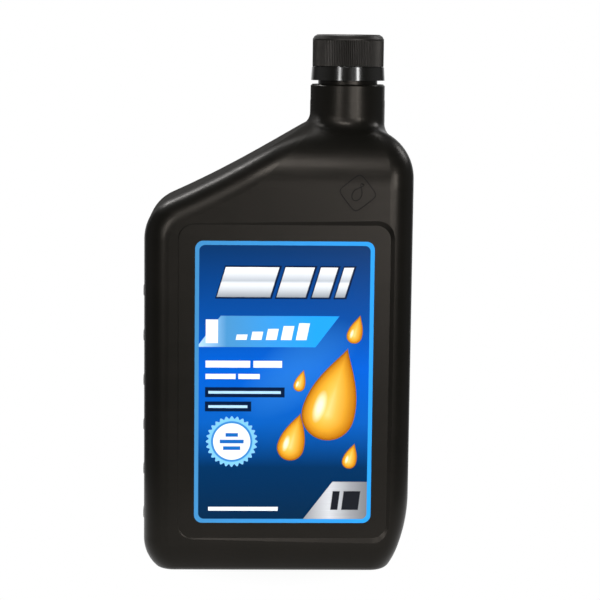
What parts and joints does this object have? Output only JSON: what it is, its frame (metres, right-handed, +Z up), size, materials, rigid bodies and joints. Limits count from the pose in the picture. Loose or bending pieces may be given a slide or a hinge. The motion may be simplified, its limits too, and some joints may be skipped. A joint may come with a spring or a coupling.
{
  "type": "motor oil bottle",
  "caption": "Black blow-moulded oil bottle with a long sloped shoulder, an offset neck, a knurled screw cap, a tamper ring and a blue front label.",
  "frame": {"origin": "middle of the base, on the surface the bottle stands on", "axes": "+Z up, front with the label towards -Y, the neck towards +X and the ribbed grip side towards -X"},
  "size_m": [0.112, 0.062, 0.225],
  "materials": {
    "bottle": "satin black",
    "cap": "satin black",
    "cap_liner": "white foam",
    "tamper_band": "gloss black",
    "front_label": "printed film"
  },
  "bodies": {
    "bottle": {"bottle": "bottle", "tamper_band": "tamper_band", "front_label": "front_label"},
    "liner": {"cap_liner": "cap_liner"},
    "cap": {"cap": "cap"}
  },
  "joints": [
    {"name": "cap_lift", "type": "slide", "parent": "bottle", "child": "liner", "axis": [0, 0, 1], "range_m": [0, 0.0126]},
    {"name": "cap_turn", "type": "hinge", "parent": "liner", "child": "cap", "pos_m": [0.0291, 0, 0.2], "axis": [0, 0, 1], "range_deg": [0, 1080]}
  ],
  "couplings": [
    {"joint": "cap_lift", "follows": "cap_turn", "m_per_rad": 0.00066845}
  ]
}
